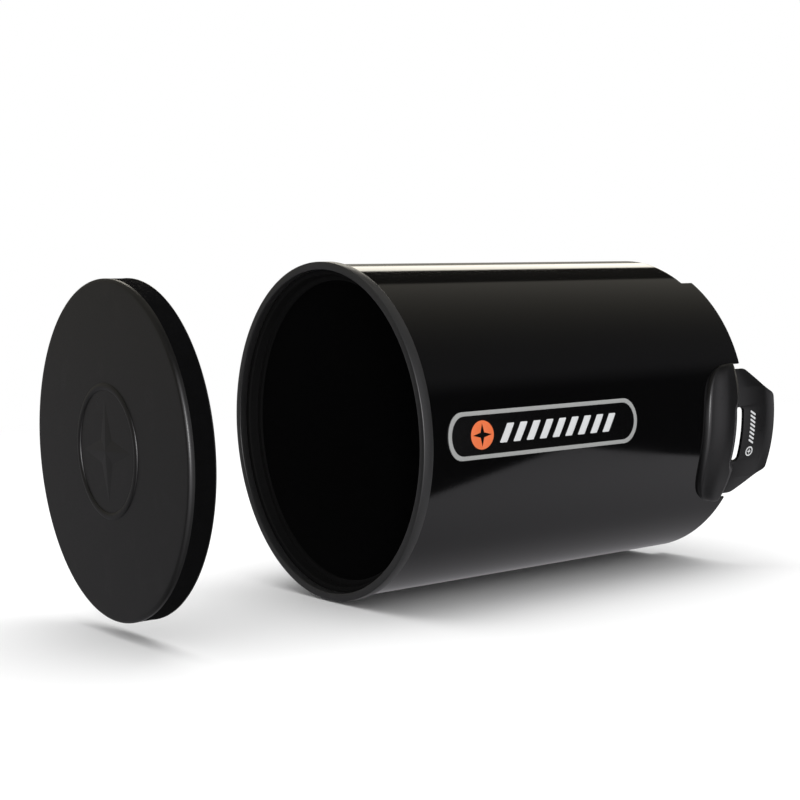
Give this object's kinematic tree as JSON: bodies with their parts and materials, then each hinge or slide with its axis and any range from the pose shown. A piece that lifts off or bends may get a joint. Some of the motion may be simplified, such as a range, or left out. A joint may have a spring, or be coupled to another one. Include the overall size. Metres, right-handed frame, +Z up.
{
  "type": "telescope dew shield",
  "caption": "Black aluminium dew shield tube for a telescope's front end, with a removable cover cap, sprung rear catches and a badge plate.",
  "frame": {"origin": "on the tube's axis, at the rear end of the felt seat that slides over the telescope's front cell", "axes": "+X along the tube's axis towards the telescope, -X towards the sky and the cap, -Y towards the badge side, +Z up"},
  "size_m": [0.525, 0.2578, 0.248],
  "materials": {
    "gloss_black_tube": "gloss black powder coat",
    "black_trim": "satin black",
    "black_moulding": "matt black",
    "black_felt": "flocked felt",
    "badge_black": "gloss",
    "badge_silver": "satin silver print",
    "badge_orange": "satin orange print",
    "cap_plastic": "fine satin grain",
    "catch_plastic": "satin moulded",
    "black_rubber": "matt",
    "plain_aluminium": "brushed",
    "screw_steel": "plated",
    "spring_steel": "drawn wire"
  },
  "bodies": {
    "shield": {"tube_shell": "gloss_black_tube", "front_trim_ring": "black_trim", "cap_socket_ring": "black_moulding", "felt_liner": "black_felt", "cell_stop_ring": "black_moulding", "cell_seat_felt": "black_felt", "badge_plate": "badge_black", "badge_border": "badge_silver", "badge_roundel": "badge_orange", "badge_bars": "badge_silver", "near_housing": "catch_plastic", "near_backing_plate": "plain_aluminium", "near_screws": "screw_steel", "near_hinge_pins": "screw_steel", "near_springs": "spring_steel", "far_housing": "catch_plastic", "far_backing_plate": "plain_aluminium", "far_screws": "screw_steel", "far_hinge_pins": "screw_steel", "far_springs": "spring_steel"},
    "cap": {"cap_shell": "cap_plastic", "cap_felt_band": "black_felt", "cap_medallion": "cap_plastic"},
    "near_catch": {"near_tongue": "catch_plastic", "near_grip_pad": "black_rubber"},
    "far_catch": {"far_tongue": "catch_plastic", "far_grip_pad": "black_rubber"}
  },
  "joints": [
    {"name": "cap_slide", "type": "slide", "parent": "shield", "child": "cap", "axis": [1, 0, 0], "range_m": [0, 0.165]},
    {"name": "near_catch_hinge", "type": "hinge", "parent": "shield", "child": "near_catch", "pos_m": [0.037, -0.11786, -0.02036], "axis": [0, 0.1702, -0.9854], "range_deg": [0, 10], "stiffness_Nm_per_rad": 0.6, "springref_deg": -17.19, "deforming": ["near_springs"]},
    {"name": "far_catch_hinge", "type": "hinge", "parent": "shield", "child": "far_catch", "pos_m": [0.037, 0.11786, 0.02036], "axis": [0, -0.1702, 0.9854], "range_deg": [0, 10], "stiffness_Nm_per_rad": 0.6, "springref_deg": -17.19, "deforming": ["far_springs"]}
  ]
}
